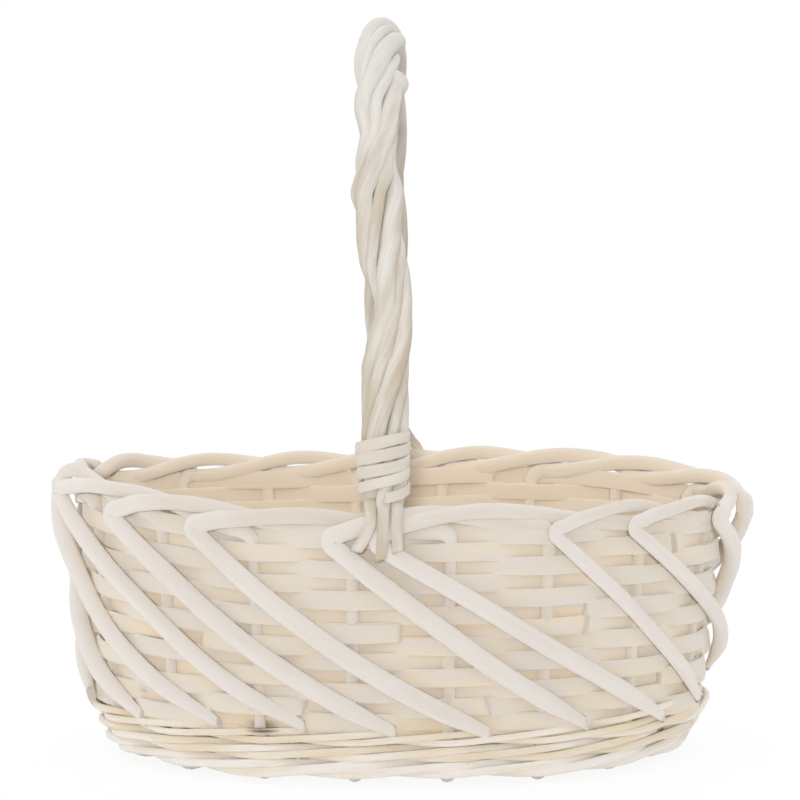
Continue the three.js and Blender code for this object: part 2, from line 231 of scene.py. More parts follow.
# Flat strip with soft edges, its outer face a little crowned
def stripOutline(sides, power):
    outline = []
    for j in range(sides):
        angle = 2 * pi * (j + 0.5) / sides
        a, b = cos(angle), sin(angle)
        outline.append((copysign(abs(a) ** power, a), copysign(abs(b) ** crownPower, b)))
    return outline


# Dark brown spots on the front, the first of them painted shade at the join just above the foot: x, height,
# half length and half height of the spot, in mm
darkSpots = ((-54, 22.7, 6.5, 1.8), (-25, 100, 3.2, 1.3), (-105, 34, 2.6, 1.2))
darkSpotCore = 0.3  # share of a spot that is dark through and through


def darkSpotAt(point):
    if point.y >= 0:
        return 0
    most = 0
    for x, height, long, tall in darkSpots:
        reach = hypot((point.x / mm - x) / long, (point.z / mm - height) / tall)
        most = max(most, 1 - ease(reach - darkSpotCore))
    return most


# Faces that look into the basket get painted warm bounce light, standing in for light thrown about inside
# it, up to a little above the rim
insideBounceLook = {"facing": -1.4, "fade": (1.06, 0.08)}


def addObject(name, data):
    item = bpy.data.objects.new(name, data)
    scene.collection.objects.link(item)
    return item


def addMesh(name, bm, material):
    mesh = bpy.data.meshes.new(name)
    bm.to_mesh(mesh)
    bm.free()
    mesh.materials.append(material)
    return addObject(name, mesh)


def finishPiece(bm, node, slot):
    bmesh.ops.recalc_face_normals(bm, faces=bm.faces)
    bm.normal_update()
    # inside: painted warm bounce light on faces that look into the basket
    inside = bm.verts.layers.float.new("inside")
    darkMark = bm.verts.layers.float.new("darkMark")
    for vert in bm.verts:
        outward = Vector((vert.co.x / wall["length"], vert.co.y / wall["width"], 0)).normalized()
        above = rising(vert.co.z / wall["height"], insideBounceLook["fade"])
        vert[inside] = ease(insideBounceLook["facing"] * vert.normal.dot(outward)) * (1 - above)
        # dark brown spots on the front, the first of them painted shade
        vert[darkMark] = 0 if slot == "peeled_willow" else darkSpotAt(vert.co)
    piece = addMesh("willow_" + node, bm, willow[slot])
    for face in piece.data.polygons:
        face.use_smooth = len(face.vertices) < 6
    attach(piece, "root")
    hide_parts(node)


def makeRod(node, slot, *course, **looks):
    bm = bmesh.new()
    drawAlong(bm, *course, **looks)
    finishPiece(bm, node, slot)


print("wall plan ready, girth", round(girth, 4))


# Sockets of a node, each set to a value or linked to another socket
def setSockets(tree, node, values):
    for name, value in values.items():
        if isinstance(value, bpy.types.NodeSocket):
            tree.links.new(value, node.inputs[name])
        else:
            node.inputs[name].default_value = value


def makeNode(tree, kind, values, **traits):
    node = tree.nodes.new(kind)
    for name, value in traits.items():
        setattr(node, name, value)
    setSockets(tree, node, values)
    return node.outputs


# One sum of sockets or numbers
def reckon(tree, operation, *values):
    return makeNode(tree, "ShaderNodeMath", dict(enumerate(values)), operation=operation)[0]


# Willow: fine fibres along the rod, slow colour drift, dry bark specks, dark spots, darker cut ends, and
# painted warm bounce light on faces that look into the basket
willowLook = {
    "fibre": ((70, 2600, 2600), 3, 0.6),  # noises: stretch along and across the rod, detail, roughness
    "strand": ((28, 900, 900), 2, 0.5),
    "drift": ((24, 130, 130), 3, 0.55),
    "speck": ((260, 1100, 1100), 2, 0.5),
    "fibreRamp": (0.52, 0.78),  # which part of each noise shows
    "strandRamp": (0.5, 0.8),
    "driftRamp": (0.3, 0.72),
    "speckRamp": (0.74, 0.82),
    "darkSpotRamp": (0.25, 0.6),
    "insideBounceShare": 0.85,
    "strandShare": 0.8,
    "cutShare": 0.18,
    "roughness": (0.36, 0.28, 0.16),  # least, and what fibre and drift add
    "relief": (0.45, 0.55, -0.3),  # how high fibres, strands and specks stand
}


def makeWillowGrain():
    group = bpy.data.node_groups.new("willowGrain", "ShaderNodeTree")
    for way, kind, names in (
        ("INPUT", "NodeSocketColor", ("Pale", "Warm", "Bark", "Inside")),
        ("INPUT", "NodeSocketFloat", ("Drift", "Fibre", "Specks")),
        ("OUTPUT", "NodeSocketColor", ("Color",)),
        ("OUTPUT", "NodeSocketFloat", ("Roughness", "Height")),
    ):
        for name in names:
            group.interface.new_socket(name, in_out=way, socket_type=kind)
    given = group.nodes.new("NodeGroupInput").outputs
    result = group.nodes.new("NodeGroupOutput")

    def mark(name, kind="Fac"):
        return makeNode(group, "ShaderNodeAttribute", {}, attribute_name=name)[kind]

    def noisy(source, stretch, detail, roughness):
        place = makeNode(group, "ShaderNodeVectorMath", {0: source, 1: stretch}, operation="MULTIPLY")[0]
        values = {"Vector": place, "Scale": 1, "Detail": detail, "Roughness": roughness}
        return makeNode(group, "ShaderNodeTexNoise", values)["Fac"]

    def ramp(source, low, high):
        values = {"Value": source, "From Min": low, "From Max": high}
        return makeNode(group, "ShaderNodeMapRange", values, interpolation_type="SMOOTHSTEP")["Result"]

    def blended(share, low, high):
        return makeNode(group, "ShaderNodeMix", {0: share, 6: low, 7: high}, data_type="RGBA")[2]

    times, plus, larger = (partial(reckon, group, kind) for kind in ("MULTIPLY", "ADD", "MAXIMUM"))
    grain = mark("grain", "Vector")
    tone, cut, inside, darkMark = (mark(name) for name in ("tone", "cut", "inside", "darkMark"))
    look = willowLook
    noises = ("fibre", "strand", "drift", "speck")
    fibre, strand, drift, speck = (noisy(grain, *look[name]) for name in noises)

    driftShare = times(ramp(drift, *look["driftRamp"]), given["Drift"])
    warmShare = plus(plus(driftShare, tone), -0.5)  # a tone of 0.5 leaves it as it is
    warmShare = larger(reckon(group, "MINIMUM", warmShare, 1), 0)
    body = blended(warmShare, given["Pale"], given["Warm"])
    # painted warm bounce light on faces that look into the basket
    body = blended(times(inside, look["insideBounceShare"]), body, given["Inside"])
    fibreShare = times(ramp(fibre, *look["fibreRamp"]), given["Fibre"])
    strandShare = times(ramp(strand, *look["strandRamp"]), times(given["Fibre"], look["strandShare"]))
    body = blended(larger(fibreShare, strandShare), body, given["Warm"])
    speckShare = times(ramp(speck, *look["speckRamp"]), given["Specks"])
    # dark spots, the first of them painted shade
    darkSpotShare = times(darkMark, ramp(strand, *look["darkSpotRamp"]))
    darkShare = larger(larger(speckShare, darkSpotShare), times(cut, look["cutShare"]))
    least, fibreRough, driftRough = look["roughness"]
    rough = plus(times(fibre, fibreRough), times(drift, driftRough))
    fibreHigh, strandHigh, speckHigh = look["relief"]
    relief = plus(times(fibre, fibreHigh), times(strand, strandHigh))
    setSockets(group, result, {
        "Color": blended(darkShare, body, given["Bark"]), "Roughness": plus(rough, least),
        "Height": plus(relief, times(speckShare, speckHigh)),
    })
    return group


willowGrain = makeWillowGrain()


# sRGB as read off a colour card, turned into scene values
def shade(*colour):
    def straight(value):
        return value / 12.92 if value <= 0.04045 else ((value + 0.055) / 1.055) ** 2.4
    return (*(straight(value / 255) for value in colour), 1)


# Name, bleached and sunned colour, drift between them, fibres, specks, and how dry the surface is
willowFinish = {
    "peeled_willow": ("peeledWillow", (235, 230, 225), (228, 219, 207), 0.5, 0.45, 0.25, 1),
    # split willow: its sunned colour is set a little lighter than the bleached one, partly painted light
    # that keeps strips light in the shade behind the stakes
    "split_willow": ("splitWillow", (231, 225, 217), (241, 228, 206), 0.6, 0.55, 0.3, 1),
    "foot_willow": ("footWillow", (243, 239, 234), (234, 221, 196), 0.9, 0.5, 0.4, 1),
    "base_willow": ("baseWillow", (232, 221, 201), (212, 192, 158), 0.7, 0.6, 0.4, 1),
    "handle_willow": ("handleWillow", (236, 233, 228), (205, 191, 168), 0.9, 0.5, 0.35, 0.35),
    "binding_skein": ("bindingSkein", (232, 226, 217), (217, 207, 191), 0.5, 0.5, 0.2, 0.6),
}
willowSurface = {
    "darkMark": (120, 90, 54),
    # colour of the painted warm bounce light inside the basket
    "inside": (243, 230, 211),
    "shine": 0.25,
    "bump": {"Strength": 0.5, "Distance": 0.4 * mm},
}


def makeWillow(name, pale, warm, drift, fibre, specks, dry):
    material = bpy.data.materials.new(name)
    material.use_nodes = True
    tree, surface = material.node_tree, willowSurface
    colours = {"Pale": pale, "Warm": warm, "Bark": surface["darkMark"], "Inside": surface["inside"]}
    values = {name: shade(*colour) for name, colour in colours.items()}
    values.update({"Drift": drift, "Fibre": fibre, "Specks": specks})
    grain = tree.nodes.new("ShaderNodeGroup")
    grain.node_tree = willowGrain
    setSockets(tree, grain, values)
    relief = {**surface["bump"], "Height": grain.outputs["Height"]}
    setSockets(tree, tree.nodes["Principled BSDF"], {
        "Specular IOR Level": surface["shine"], "Diffuse Roughness": dry,
        "Base Color": grain.outputs["Color"], "Roughness": grain.outputs["Roughness"],
        "Normal": makeNode(tree, "ShaderNodeBump", relief)["Normal"],
    })
    return material


willow = {slot: makeWillow(*finish) for slot, finish in willowFinish.items()}
print("willow finishes ready", len(willow))

# Wall rods: foot, stake, strand of the rope rim, hook, slanting rod
# Spans along a rod are in stations of its course, spans across the basket in metres from its middle
wallRod = {
    "radius": 3.4 * mm,
    "footReach": 30 * mm,
    "footBend": 5 * mm,
    "rimBend": 5 * mm,
    "rimSpan": 2,  # rod spacings along the rim
    "ropeRadius": 3.65 * mm,
    "ropeOut": 2.25 * mm,
    "hookRadius": 2.7 * mm,
    "hookLead": 7 * mm,
    "slantOut": 8.6 * mm,
    "slantAngle": radians(36),
    "slantFoot": 22 * mm,  # height where a slanting rod ends
    "bendSteps": 8,
    "stakeSteps": 28,
    "rimSteps": 44,
    "hookSteps": 12,
    "slantSteps": 70,
    "endSpan": (0.075, 0.05),  # loops stand off the wall at the two ends
    "endBulge": 3 * mm,
    "endDip": 2 * mm,  # and lie closer below
    "shorter": (12 * mm, (0.11, 0.02)),  # rods are cut shorter at the right end
    "tuck": 4.8 * mm,  # tips are tucked into the weave, less so at the two ends
    "tuckSpan": (0.76, 0.24),
    "tuckLess": (0.7, (0.085, 0.03)),
    "footStations": 12,  # these keep the basket level
    "taper": (1.03, 0.97),  # from butt to tip
    "pressed": (0.35, (12, 6), (40, 12)),  # weavers squeeze the stake
    "rimThin": (0.12, (46, 10), (88, 10)),
    "stout": (0.1, (110, 12)),  # the slanting rod is stouter
    "sliver": (0.55, (163, 16), 1.5),  # long slanting cut
    "stakeTone": 0.5,  # bleached most on the outside, least on the stake
    "outerTones": ((-0.5, (40, 12)), (0.3, (46, 10), (88, 10)), (-0.2, (88, 10))),
    "bulgeScatter": (0.7, 1.2),  # ranges of the draws: shares, places in mm and the turn in degrees
    "outScatter": (0, 1.2),
    "hookScatter": (-2, 2),
    "hookRise": (-1.2, 0.8),
    "turnScatter": (-1, 1),
    "tipScatter": (-1, 2.5),
    "sizes": (0.98, 1.14),
    "tones": (0.32, 0.62),
    "tipCuts": (0.6, 1.6),
    "uneven": (0.05, 0.11),  # how its thickness strays
    "drift": (0.5 * mm, 0.05),  # how it strays along the wall, above the foot
    "driftSpan": (10 * mm, 20 * mm),
    "waver": (0.35 * mm, 3),
    "sides": 14,
}
# Rods that lie off the regular course: shift of the hook in mm, turn in degrees and sag in mm
offCourse = {
    10: (0, 0, 3), 11: (-3, 0, 3), 12: (0, 0, 4), 13: (-6, 0, 6),
    14: (-11, -1, 7), 15: (4, 1, 4.5), 16: (-19, -3, 2), 17: (10, 9, 0),
}
onCourse = (0, 0, 2)
thinRods = {0: 0.8, 17: 0.8}  # share of the usual thickness


# Stations of a rod: way round from its stake, height, and how far it stands out
def wallRodCourse(index, dice):
    rod = wallRod
    radius, height, bend = rod["radius"], wall["height"], rod["bendSteps"]
    shift, turned, sagged = offCourse.get(index, onCourse)
    course = []
    for i in range(bend + 1):
        course.append((0, radius, mix(-rod["footReach"], -rod["footBend"] - radius, i / bend)))
    for i in range(1, bend + 1):
        turn = pi / 2 * i / bend
        course.append((0, radius + rod["footBend"] * (1 - cos(turn)), rod["footBend"] * (sin(turn) - 1)))
    stakeFoot = radius + rod["footBend"]
    stakeTop = height - rod["ropeRadius"] - rod["rimBend"]
    for i in range(1, rod["stakeSteps"]):
        course.append((0, mix(stakeFoot, stakeTop, i / rod["stakeSteps"]), 0))
    for i in range(bend + 1):
        turn = pi / 2 * i / bend
        along = -rod["rimBend"] * (1 - cos(turn))
        course.append((along, stakeTop + rod["rimBend"] * sin(turn), rod["ropeOut"] * i / bend))
    rimRun = rod["rimSpan"] * rodSpacing - shift * mm
    place = onWall(rodPlace(index) - rimRun, height, 0)
    atEnd = rising(abs(place.x), rod["endSpan"])
    bulge = rod["endBulge"] * atEnd * dice.uniform(*rod["bulgeScatter"])
    bulge += dice.uniform(*rod["outScatter"]) * mm
    for i in range(1, rod["rimSteps"] + 1):
        share = i / rod["rimSteps"]
        angle = 1.5 * pi * (1 - share)
        along = -rod["rimBend"] - (rimRun - rod["rimBend"]) * share
        out = rod["ropeOut"] + rod["ropeRadius"] * cos(angle) + 0.6 * bulge * ease(2.2 * share - 1.2)
        course.append((along, height + rod["ropeRadius"] * sin(angle), out))
    hookAlong = -rimRun - rod["hookLead"] + dice.uniform(*rod["hookScatter"]) * mm
    hookHeight = height - rod["ropeRadius"] / 2 - rod["hookRadius"]
    hookHeight += dice.uniform(*rod["hookRise"]) * mm
    slant = rod["slantAngle"] + radians(dice.uniform(*rod["turnScatter"]) + turned)
    for i in range(rod["hookSteps"] + 1):
        share = i / rod["hookSteps"]
        angle = pi / 2 + (pi - slant) * share
        along = hookAlong + rod["hookRadius"] * cos(angle)
        out = rod["slantOut"] + mix(0.7, 1, share) * bulge
        course.append((along, hookHeight + rod["hookRadius"] * sin(angle), out))
    startAlong, startHeight = course[-1][:2]
    drop = startHeight - rod["slantFoot"] - dice.uniform(*rod["tipScatter"]) * mm
    end = onWall(rodPlace(index) + startAlong + drop / tan(slant), rod["slantFoot"], 0)
    drop -= over(end.x, rod["shorter"])
    tuck = rod["tuck"] * (1 - over(abs(end.x), rod["tuckLess"]))
    dip = rod["endDip"] * atEnd
    for i in range(1, rod["slantSteps"] + 1):
        share = i / rod["slantSteps"]
        sag = mm * sin(pi * share) * (1.5 * wander(index + 20, 1.3 * share + 0.5) - sagged)
        out = rod["slantOut"] + (bulge + dip) * (1 - ease(2.4 * share)) - dip
        out += stray(rod["waver"], index + 40, share) - tuck * rising(share, rod["tuckSpan"])
        course.append((startAlong + share * drop / tan(slant), startHeight - share * drop + sag, out))
    return course


def makeWallRods():
    rod = wallRod
    outline = roundOutline(rod["sides"])
    cutAway, cutSpan, cutPower = rod["sliver"]
    for index in range(wall["rodCount"]):
        dice = random.Random(100 + index)
        course = wallRodCourse(index, dice)
        root = rodPlace(index)
        points = []
        for i, (along, height, out) in enumerate(course):
            drift = stray(rod["drift"], index, i) * rising(height, rod["driftSpan"])
            points.append(onWall(root + along + drift, height, out))
        size = rod["radius"] * dice.uniform(*rod["sizes"]) * thinRods.get(index, 1)

        def spread(i):
            if i < rod["footStations"]:
                return rod["radius"], rod["radius"]
            radius = size * mix(*rod["taper"], i / len(points))
            radius *= (1 - over(i, rod["pressed"])) * (1 - over(i, rod["rimThin"]))
            radius *= 1 + stray(rod["uneven"], index + 60, i) + over(i, rod["stout"])
            sliver = 1 - cutAway * rising(i, cutSpan) ** cutPower
            return radius * mix(sliver, 1, 0.35), radius * sliver

        shadeOf = dice.uniform(*rod["tones"])

        def tone(i):
            return shadeOf + rod["stakeTone"] + sum(over(i, rule) for rule in rod["outerTones"])

        makeRod("wall_rod_%02d" % (index + 1), "peeled_willow", points, spread, outline,
                seed=index, tone=tone, cuts=(0, dice.uniform(*rod["tipCuts"])))
    print("wall rods ready")


# Weaver rows: flat split strips, in front of one stake and behind the next, two strips to a round
weaverRow = {
    "count": 13,
    "firstHeight": 26.05 * mm,
    "pitch": 6.32 * mm,
    "width": 7.8 * mm,
    "thickness": 2.1 * mm,
    "out": 2.4 * mm,
    "wavePower": 0.72,
    "lap": 0.55,  # in rod spacings
    "lapTuck": 1 * mm,  # laps lie side by side
    "together": (1.1 * mm, 0.6),  # rows rise and fall together, and a little each by itself
    "alone": (0.3 * mm, 0.8),
    "roll": (0.2, 0.7),
    "sway": 0.06,
    "nudge": 0.4 * mm,
    "unevenWidth": (0.13, 0.045),
    "unevenThickness": (0.12, 0.06),
    "tones": (0.3, 0.7),
    "cut": 0.5,
    "bleachAndPaintedLight": 0.22,  # bleached most where a strip lies outside; behind a stake it is warmer and a little lighter, painted light against the shade there
    "edgePower": 0.5,
    "stepsPerRod": 22,
    "sides": 14,
}


def weaverOut(row, way):
    wave = cos(pi * (way - wall["firstRod"]))
    flat = copysign(abs(wave) ** weaverRow["wavePower"], wave)
    return flat * weaverRow["out"] * (1 if row % 2 else -1)


def makeWeaverRows():
    outline = stripOutline(weaverRow["sides"], weaverRow["edgePower"])
    lap, nudge, cut = weaverRow["lap"], weaverRow["nudge"], weaverRow["cut"]
    for row in range(weaverRow["count"]):
        dice = random.Random(300 + row)
        bm = bmesh.new()
        splices = sorted(dice.sample(range(wall["rodCount"]), 2))
        for strip, start in enumerate(splices):
            end = splices[1 - strip]
            span = (end - start) % wall["rodCount"] or wall["rodCount"]
            steps = int((span + 2 * lap) * weaverRow["stepsPerRod"])
            seed = row * 2 + strip
            points, lifts, depths = [], [], []
            for i in range(steps + 1):
                way = start - lap + (span + 2 * lap) * i / steps
                toEnd = min(i, steps - i) / weaverRow["stepsPerRod"]
                tuck = (1 - ease(toEnd / 0.8 - 1.4)) * weaverRow["lapTuck"] * (1 if strip else -1)
                drift = stray(weaverRow["together"], 80 + 0.04 * row, way)
                drift += stray(weaverRow["alone"], seed + 80, way)
                height = weaverRow["firstHeight"] + row * weaverRow["pitch"] + drift * ease(row / 2)
                out = weaverOut(row, way) + tuck
                along = way * rodSpacing
                points.append(onWall(along, height, out))
                ahead = onWall(along + nudge, height, out) - onWall(along - nudge, height, out)
                lean = stray(weaverRow["roll"], seed + 100, way) + weaverRow["sway"] * sin(pi * way + row)
                lifts.append((Vector((ahead.y, -ahead.x, 0)).normalized() + lean * upward).normalized())
                depths.append(out / weaverRow["out"])
            shadeOf = dice.uniform(*weaverRow["tones"])

            def spread(i):
                width = weaverRow["width"] * (1 + stray(weaverRow["unevenWidth"], seed + 120, i))
                thickness = weaverRow["thickness"] * (1 + stray(weaverRow["unevenThickness"], seed + 160, i))
                return width / 2, thickness / 2

            # tone by depth: bleached paler outside, warmer and a little lighter behind a stake, painted
            # light against the shade there
            drawAlong(bm, points, spread, outline, liftAt=lambda i: lifts[i], seed=seed,
                      tone=lambda i: shadeOf - weaverRow["bleachAndPaintedLight"] * depths[i],
                      cuts=(dice.uniform(-cut, cut), dice.uniform(-cut, cut)))
        finishPiece(bm, "weaver_row_%02d" % (row + 1), "split_willow")
    print("weaver rows ready")


# Foot wale: three thin rods to a row, each outside two stakes and inside the third
footWale = {
    "rows": 3,
    "strands": 3,
    "firstHeight": 7 * mm,
    "pitch": 6.5 * mm,
    "radius": 1.5 * mm,
    "lowestSize": 1.2,  # the lowest row is of stouter rods and lies a little lower
    "lowestDrop": 0.2 * mm,
    "rowTonesAndFloorLight": (-0.5, 0.2, 0),  # it is painted palest too, standing in for light from the white floor below
    "out": 5.05 * mm,
    "lift": 1.7 * mm,
    "lap": 1.3 * mm,  # how far the two ends of a rod lie apart
    "upStray": (0.5 * mm, 0.8),
    "outStray": (0.3 * mm, 1.1),
    "alongStray": (1.5 * mm, 0.9),
    "springing": (2, 2, 15, 9 * mm, 2.5 * mm),  # row, rod, start and how far its end springs up and out
    "course": ((1, -1, 1, 0), (1, 1, 0, 1), (-1, 0, 0, -1)),  # out, lift, then out and lift half way on
    "sizes": (0.93, 1.12),
    "taper": (1.06, 0.92),
    "uneven": (0.05, 0.09),
    "tones": (0.25, 0.85),
    "cuts": (1, 1.2),
    "steps": 10,
    "sides": 12,
}


def makeFootWale():
    wale = footWale
    outline = roundOutline(wale["sides"])
    rodCount = wall["rodCount"]
    springRow, springRod, springStart, springUp, springOut = wale["springing"]
    for row, strand in product(range(wale["rows"]), range(wale["strands"])):
        dice = random.Random(500 + 10 * row + strand)
        seed = 200 + 10 * row + strand
        start = dice.randrange(rodCount // 3) * 3 + 2 - strand  # inside a stake
        springs = (row, strand) == (springRow, springRod)
        start = springStart if springs else start
        guides = []
        for turn in range(rodCount + 2):
            index = start + turn
            out, lift, nextOut, nextLift = wale["course"][(index + strand) % 3]
            lap = wale["lap"] if turn < 1 else -wale["lap"] if turn > rodCount - 1 else 0
            for way, side, rise in ((index, out, lift), (index + 0.5, nextOut, nextLift)):
                height = wale["firstHeight"] + row * wale["pitch"] + rise * wale["lift"]
                height -= wale["lowestDrop"] if row == 0 else 0
                height += stray(wale["upStray"], seed, way) + 0.3 * lap
                far = side * wale["out"] + lap + stray(wale["outStray"], seed + 9, way)
                if springs:
                    loose = ease((way - start - rodCount + 0.5) / 2)
                    height += springUp * loose
                    far += springOut * loose
                along = rodPlace(way) + stray(wale["alongStray"], seed + 18, way)
                guides.append(onWall(along, height, far))
        points = throughGuides(guides, wale["steps"])
        size = wale["radius"] * dice.uniform(*wale["sizes"]) * (wale["lowestSize"] if row == 0 else 1)

        def spread(i):
            radius = size * mix(*wale["taper"], i / len(points))
            radius *= 1 + stray(wale["uneven"], seed + 27, i)
            return radius, radius

        # row tone: the lowest row painted palest, light from the floor painted on
        shadeOf = dice.uniform(*wale["tones"]) + wale["rowTonesAndFloorLight"][row]
        makeRod("foot_wale_%d%s" % (row + 1, "abc"[strand]), "foot_willow", points, spread, outline,
                seed=seed, tone=lambda i: shadeOf, cuts=[dice.uniform(-cut, cut) for cut in wale["cuts"]])
    print("foot wale ready")


# Base: long sticks through slits in short sticks, two flat weavers that chase each other
base = {
    "stickThickness": 3 * mm,
    "stickWidth": 7 * mm,
    "longSticks": 3,
    "longPitch": 7.3 * mm,
    "shortSticks": 5,
    "shortSpacing": 26 * mm,
    "shortCore": 7.6 * mm,
    "slitPlay": 0.2 * mm,
    "softEdge": 0.5 * mm,
    "point": (14 * mm, 0.5),  # long sticks narrow towards their ends
    "middleHeight": 9.13 * mm,
    "edge": 6 * mm,  # last turn of the weavers, in from the stakes
    "heartLength": 118 * mm,
    "heartWidth": 26.8 * mm,  # the first row lies against the long sticks
    "heartPower": 10,
    "turns": 7,
    "firstWidening": 0.25,  # turns before the weavers spread to the sides
    "cornerStations": (0.25, 0.5, 0.75),
    "stickRoom": 0.3 * mm,
    "groupRoom": 0.5 * mm,
    "weaverWidth": 4.6 * mm,
    "weaverThickness": 1.7 * mm,
    "weaverLift": 2.5 * mm,
    "weaverUneven": (0.1, 0.05),
    "weaverStray": (0.35 * mm, 0.6),
    "weaverTones": (0.45, 0.65),
    "edgePower": 0.62,
    "longCuts": 40,
    "longUneven": (0.06, 30),
    "longBow": (0.25 * mm, 22),
    "steps": 7,
    "sides": 12,
}
baseRimLength = wall["length"] - 2 * base["edge"]
baseRimWidth = wall["width"] - 2 * base["edge"]
longGroup = base["longSticks"] * base["longPitch"] + base["stickRoom"]


def halfChord(distance, size, chordSize, power):
    share = abs(2 * distance / size) ** power
    return chordSize / 2 * (1 - share) ** (1 / power)


def shortPlace(i):
    return (i - (base["shortSticks"] - 1) / 2) * base["shortSpacing"]


# Whittled stick: soft edges, grain along its length
def finishStick(bm, name, alongAxis, seed):
    sharp = [edge for edge in bm.edges if edge.calc_face_angle(0) > 0.5]
    bmesh.ops.bevel(bm, geom=sharp, offset=base["softEdge"], offset_type="OFFSET", segments=2, profile=0.5,
                    affect="EDGES", material=-1, clamp_overlap=True)
    bmesh.ops.triangulate(bm, faces=[face for face in bm.faces if len(face.verts) > 4])
    grainMark, toneMark, cutMark = willowMarks(bm)
    shadeOf = random.Random(seed).uniform(0.4, 0.8)
    reach = max(abs(vert.co[alongAxis]) for vert in bm.verts)
    for vert in bm.verts:
        way = vert.co[alongAxis]
        vert[grainMark] = Vector((way + grainShift * seed, vert.co[1 - alongAxis], vert.co.z))
        vert[toneMark] = shadeOf
        vert[cutMark] = 1.0 if abs(way) > reach - 0.1 * mm else 0.0
    finishPiece(bm, name, "base_willow")


def makeLongSticks():
    point, narrow = base["point"]
    for i in range(base["longSticks"]):
        bm = bmesh.new()
        bmesh.ops.create_cube(bm, size=1)
        size = (baseRimLength, base["stickWidth"], base["stickThickness"])
        bmesh.ops.scale(bm, vec=size, verts=bm.verts)
        lengthwise = [edge for edge in bm.edges if abs((edge.verts[0].co - edge.verts[1].co).x) > 0.1]
        bmesh.ops.subdivide_edges(bm, edges=lengthwise, cuts=base["longCuts"], use_grid_fill=True)
        middle = (i - (base["longSticks"] - 1) / 2) * base["longPitch"]
        for vert in bm.verts:
            pointed = ease((abs(vert.co.x) - baseRimLength / 2 + point) / point)
            vert.co.y *= mix(1, narrow, pointed) * (1 + stray(base["longUneven"], 610 + i, vert.co.x))
            vert.co.z += stray(base["longBow"], 620 + i, vert.co.x)
            vert.co += Vector((0, middle, base["middleHeight"]))
        finishStick(bm, "base_long_stick_%d" % (i + 1), 0, 630 + i)


def makeShortSticks():
    thin, width, core = base["stickThickness"], base["stickWidth"], base["shortCore"] / 2
    slit = longGroup / 2
    shoulder = slit + thin / 4
    neck = shoulder + thin / 2
    for i in range(base["shortSticks"]):
        half = halfChord(shortPlace(i), baseRimLength, baseRimWidth, wall["power"])
        low = {half: 0, neck: 0, shoulder: 0, slit: thin / 2 + base["slitPlay"]}
        high = {half: thin / 2, neck: thin / 2, shoulder: core, slit: core}
        bm = bmesh.new()
        for top in (1, -1):  # upper and lower half of the stick, parted by the slit
            row = []
            for y in (half, neck, shoulder, slit, -slit, -shoulder, -neck, -half):
                row.append([bm.verts.new((0, y, top * edge[abs(y)])) for edge in (low, high)])
            for (a, b), (c, d) in zip(row, row[1:]):
                bm.faces.new((a, b, d, c))
        bmesh.ops.remove_doubles(bm, verts=bm.verts, dist=0.02 * mm)
        bmesh.ops.dissolve_limit(bm, angle_limit=0.01, verts=bm.verts, edges=bm.edges)
        grown = bmesh.ops.extrude_face_region(bm, geom=list(bm.faces))["geom"]
        farSide = [item for item in grown if isinstance(item, bmesh.types.BMVert)]
        bmesh.ops.translate(bm, vec=(width, 0, 0), verts=farSide)
        bmesh.ops.translate(bm, vec=(shortPlace(i) - width / 2, 0, base["middleHeight"]), verts=bm.verts)
        bmesh.ops.recalc_face_normals(bm, faces=bm.faces)
        finishStick(bm, "base_short_stick_%d" % (i + 1), 1, 640 + i)
    print("base sticks ready")


# One turn of a base weaver of a given size: two places at each stick that it passes, a few round each corner
# Each place comes with the number of the stick
def baseTurn(*size):
    length, width, power = size
    hold = base["stickWidth"] / 2 + base["stickRoom"]
    groupHold = longGroup / 2 + base["groupRoom"]
    lastStick = shortPlace(base["shortSticks"] - 1) + hold
    low = atan2(groupHold, halfChord(groupHold, width, length, power))
    high = atan2(halfChord(lastStick, *size), lastStick)
    places = []
    passed = 0

    def corner(sideX, sideY, shares):
        for share in shares:
            angle = mix(low, high, share)
            reach = ovalReach(angle, *size)
            places.append((None, sideX * reach * cos(angle), sideY * reach * sin(angle)))

    toSticks = base["cornerStations"]
    for side in (1, -1):
        for y in (-side * groupHold, side * groupHold):
            places.append((passed, side * halfChord(y, width, length, power), y))
        passed += 1
        corner(side, side, toSticks)
        for i in range(base["shortSticks"])[::-side]:
            for x in (shortPlace(i) + side * hold, shortPlace(i) - side * hold):
                places.append((passed, x, side * halfChord(x, *size)))
            passed += 1
        corner(-side, side, toSticks[::-1])
    return places


def makeBaseWeavers():
    outline = stripOutline(base["sides"], base["edgePower"])
    count = len(baseTurn(baseRimLength, baseRimWidth, wall["power"]))
    turns, first = base["turns"], base["firstWidening"]
    for start in (0, 1):
        guides = []
        for step in range(turns * count):
            share = step / count / turns
            length = mix(base["heartLength"], baseRimLength, share)
            widening = max(turns * share - first, 0) / (turns - first)
            width = mix(base["heartWidth"], baseRimWidth, widening)
            power = mix(base["heartPower"], wall["power"], share)
            passed, x, y = baseTurn(length, width, power)[(step + start * count // 2) % count]
            rise = 0 if passed is None else base["weaverLift"] * (1 if (passed + start) % 2 else -1)
            x += stray(base["weaverStray"], 650 + start, step)
            guides.append(Vector((x, y, base["middleHeight"] + rise)))
        points = throughGuides(guides, base["steps"])

        def spread(i):
            width = base["weaverWidth"] * (1 + stray(base["weaverUneven"], 660 + start, i))
            return width / 2, base["weaverThickness"] / 2

        makeRod("base_weaver_" + "ab"[start], "base_willow", points, spread, outline,
                liftAt=lambda i: upward, seed=60 + start, tone=lambda i: base["weaverTones"][start])
    print("base weavers ready")


